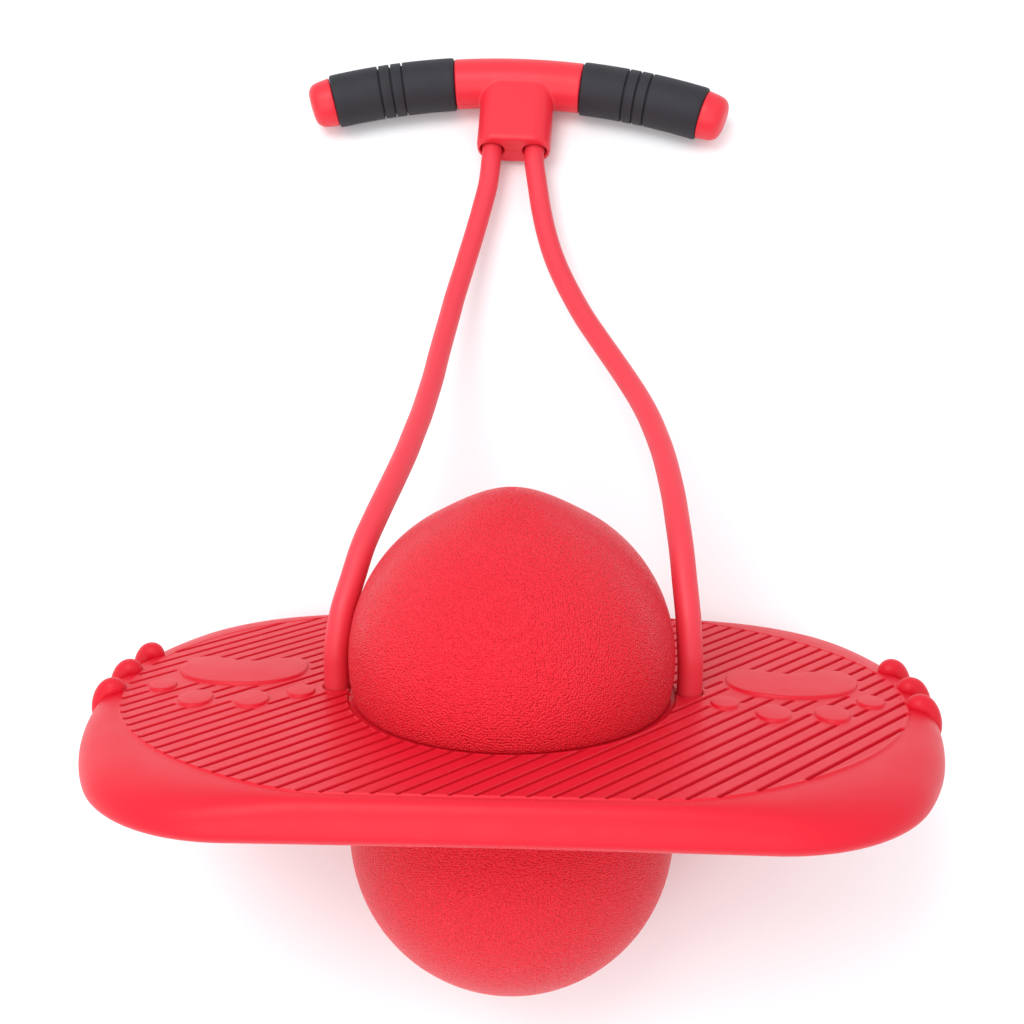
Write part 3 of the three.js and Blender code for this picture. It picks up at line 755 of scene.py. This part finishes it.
def along_bar(profile, segments, side=1):
    """A solid of revolution along the bar from [radius, place along the bar] rows."""
    verts, faces = lathe(profile, segments)
    verts = np.column_stack([side * verts[:, 2], verts[:, 0], verts[:, 1]])
    return bent(verts), faces


def stem_outline(inset, count=72):
    """The stem's section in the x-z plane, as x and z."""
    half_x, half_z, corner = STEM_WIDTH / 2 - inset, STEM_THICKNESS / 2 - inset, STEM_CORNER - inset
    points = []
    for sx, sz, start in ((1, 1, 0), (-1, 1, 90), (-1, -1, 180), (1, -1, 270)):
        for a in np.radians(np.linspace(start, start + 90, count // 4)):
            points.append((sx * (half_x - corner) + corner * math.cos(a),
                           sz * (half_z - corner) + corner * math.sin(a)))
    return np.array(points)


def make_handle_body():
    """The T-shaped body, melted together, then drilled and split into its front and rear halves."""
    bar_end = -BAR_HALF_LENGTH
    bar_profile = [(0, bar_end), (19, bar_end), (19.7, bar_end + 0.3), (BAR_RADIUS, bar_end + 1)]
    bar_profile += [(BAR_RADIUS, x) for x in np.arange(-50, 51, 2.5)]
    bar_profile += [(r, -x) for r, x in bar_profile[3::-1]]
    body = mesh_of("bar", along_bar(bar_profile, 96))
    rings = []
    for y, inset in ((0, 0), (STEM_END + 3.2, 0), (STEM_END + 1.4, 0.5), (STEM_END + 0.5, 1.3), (STEM_END, 2.8)):
        section = stem_outline(inset)
        rings.append(np.column_stack([section[:, 0], np.full(len(section), y), section[:, 1]]))
    boolean(body, mesh_of("stem", loft(rings)), "UNION")
    remesh = body.modifiers.new("remesh", "REMESH")
    remesh.mode = "VOXEL"
    remesh.voxel_size = VOXEL
    soften = body.modifiers.new("soften", "SMOOTH")
    soften.factor = 0.5
    soften.iterations = 8
    apply_modifiers(body)
    holes = []
    for side in (-1, 1):
        mouth = -STEM_END
        profile = [
            (0, mouth + 9), (11.4, mouth + 9), (11.4, mouth + 0.6), (10.2, mouth - 0.6), (9.9, mouth - 2),
            (9.6, mouth - 6), (8.45, mouth - 9), (8.45, mouth - 24), (0, mouth - 24),
        ]
        verts, faces = lathe(profile, 64)
        verts = np.column_stack([verts[:, 0] + side * SOCKET_SPACING / 2, -verts[:, 2], verts[:, 1]])
        holes.append((verts, faces))
    for x, y in SCREWS:
        well = [(0, -30), (3.9, -30), (3.9, -9.6), (2.0, -9.6), (2.0, 9), (0, 9)]
        holes.append(moved(lathe(well, 32), x, y))
    boolean(body, mesh_of("sockets", joined(holes)), "DIFFERENCE")
    for word, low, high in (("front", HALF_SEAM, 40), ("rear", -40, -HALF_SEAM)):
        half = body.copy()
        half.data = body.data.copy()
        bpy.context.scene.collection.objects.link(half)
        box = [np.array([(-100, -90, z), (100, -90, z), (100, 40, z), (-100, 40, z)]) for z in (low, high)]
        boolean(half, mesh_of("half", loft(box)), "INTERSECT")
        half.name = f"handle_{word}_visual"
        half.data.transform(HANDLE)
        finish_piece(half, HANDLE_RED, "handle", f"handle_{word}_shell", sharp=40)
    bpy.data.objects.remove(body, do_unlink=True)


def make_grip(word, side):
    """A sleeve along the bar with three ring grooves, its middle one at GRIP_RINGS."""
    start, end, r, inner = BAR_HALF_LENGTH + 0.3, CORE_HALF_LENGTH, GRIP_RADIUS, GRIP_INNER_RADIUS
    centre = GRIP_RINGS[side]
    profile = [(inner, start), (r - 1.8, start), (r - 0.7, start + 0.4), (r - 0.2, start + 1.2), (r, start + 2.4)]
    profile += [(r, x) for x in np.arange(start + 6, centre - 15, 4)]
    for i in (-1, 0, 1):
        at = centre + i * GRIP_RING_SPACING
        profile += [(r, at - 2.4), (r, at - 1.15), (r - 0.12, at - 0.9), (r - 0.4, at - 0.75)]
        profile += [(r - 2.3, at - 0.6), (r - 2.5, at)]
        profile += [(r - 2.3, at + 0.6), (r - 0.4, at + 0.75), (r - 0.12, at + 0.9), (r, at + 1.15)]
    profile += [(r, x) for x in np.arange(centre + 14, end - 4, 4)]
    profile += [(r, end - 2.4), (r - 0.2, end - 1.2), (r - 0.7, end - 0.4), (r - 1.8, end), (inner, end)]
    profile += [(inner, x) for x in np.arange(end - 5, start + 2, -5)]
    grip = mesh_of(f"grip_{word}_visual", along_bar(profile, 96, side))
    grip.data.transform(HANDLE)
    finish_piece(grip, GRIP_BLACK, "handle", f"grip_{word}", sharp=50)


def make_cap(word, side):
    """A domed cap with a spigot that plugs into the bar."""
    low = CORE_HALF_LENGTH + 0.3
    r = CAP_RADIUS
    profile = [(0, low - 10), (12, low - 10), (13, low - 8), (13, low)]
    profile += [(r - 0.8, low), (r - 0.2, low + 0.3), (r, low + 1), (r - 0.5, low + 5), (r - 1.0, low + 9)]
    profile += [(r - 1.7, low + 12.5), (r - 2.8, low + 14.9), (r - 4.5, low + 16.8), (r - 6.6, low + 18.0)]
    profile += [(r - 9, low + 18.7), (r - 12, low + 19.1), (r - 16, low + 19.3), (0, low + 19.4)]
    cap = mesh_of(f"end_cap_{word}_visual", along_bar(profile, 96, side))
    cap.data.transform(HANDLE)
    finish_piece(cap, HANDLE_RED, "handle", f"end_cap_{word}", sharp=50)


# ---------- room ----------

FLOOR_WHITE = 0.93
SKY_COLOUR = (0.93, 0.97, 1.0)
SKY_STRENGTH = 1.02
LAMP_TARGET = (0, 0, 0.1)
FLOOR_HALF_SIDE = 6.0
FLOOR_HEIGHT = -0.0007  # just under the lowest point of the rounded pieces


def make_floor():
    """A plain white floor, far wider than any view."""
    half, z = FLOOR_HALF_SIDE, FLOOR_HEIGHT
    shape = ([(-half, -half, z), (half, -half, z), (half, half, z), (-half, half, z)], [(0, 1, 2, 3)])
    floor = mesh_of("floor", shape)
    look = bpy.data.materials.new("floor")
    look.use_nodes = True
    shader = look.node_tree.nodes["Principled BSDF"]
    shader.inputs["Base Color"].default_value = (FLOOR_WHITE, FLOOR_WHITE, FLOOR_WHITE, 1)
    shader.inputs["Roughness"].default_value = 0.9
    floor.data.materials.append(look)


def area_light(name, place, size, power):
    """A round lamp that points at the part."""
    data = bpy.data.lights.new(name, "AREA")
    data.shape = "DISK"
    data.size = size
    data.energy = power
    light = bpy.data.objects.new(name, data)
    light.location = place
    light.rotation_euler = (Vector(LAMP_TARGET) - Vector(place)).to_track_quat("-Z", "Y").to_euler()
    bpy.context.scene.collection.objects.link(light)


def make_lights():
    """Two soft lamps and an even sky, for the white surroundings."""
    area_light("key", (-0.6, 0.3, 2.3), size=1.3, power=22)
    area_light("fill", (-0.4, -1.5, 1.7), size=1.6, power=14)
    world = bpy.data.worlds.new("world")
    world.use_nodes = True
    sky = world.node_tree.nodes["Background"]
    sky.inputs["Color"].default_value = (*SKY_COLOUR, 1)
    sky.inputs["Strength"].default_value = SKY_STRENGTH
    bpy.context.scene.world = world
    bpy.context.scene.view_settings.view_transform = "Standard"


make_camera()
make_ropes()
make_board()
make_ball()
make_valve()
make_rope_ends()
make_handle_body()
make_grip("left", -1)
make_grip("right", 1)
make_cap("left", -1)
make_cap("right", 1)
# These pieces are hidden inside the handle, so they keep their CAD shapes.
for node, look in (("rope_head_left", ROPE_RED), ("rope_head_right", ROPE_RED),
                   *((f"handle_screw_{i}", SCREW_STEEL) for i in (1, 2, 3, 4))):
    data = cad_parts[node].data
    data.materials.clear()
    data.materials.append(look)
make_floor()
make_lights()
